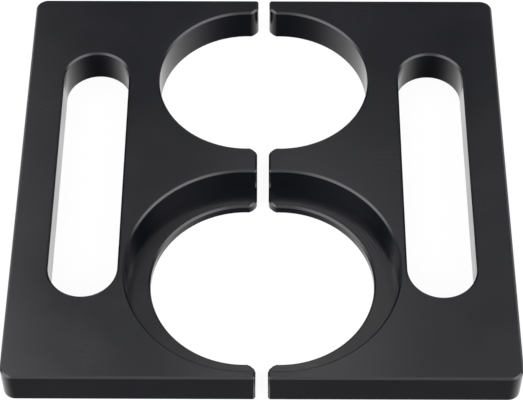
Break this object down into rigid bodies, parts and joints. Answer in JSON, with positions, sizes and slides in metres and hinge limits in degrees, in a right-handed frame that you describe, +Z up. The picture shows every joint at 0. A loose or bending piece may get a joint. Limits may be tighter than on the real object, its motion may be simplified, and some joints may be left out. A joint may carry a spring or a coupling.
{
  "type": "watch movement holder",
  "caption": "Pair of loose flat black plates whose facing half-round cut-outs form a plain hole and a stepped hole that hold a watch movement; each plate has a long slot.",
  "frame": {"origin": "on the surface that the plates lie on, at the middle of the pair", "axes": "+Z up through the plates' thickness, +X from the left plate to the right plate, +Y to the back, where the plain hole is"},
  "size_m": [0.0624, 0.061, 0.005],
  "materials": {
    "black_plate": "satin"
  },
  "bodies": {
    "left_plate": {"left_plate": "black_plate"},
    "right_plate": {"right_plate": "black_plate"}
  },
  "joints": [
    {"name": "plate_slide", "type": "slide", "parent": "left_plate", "child": "right_plate", "axis": [1, 0, 0], "range_m": [-0.0015, 0.006]}
  ]
}
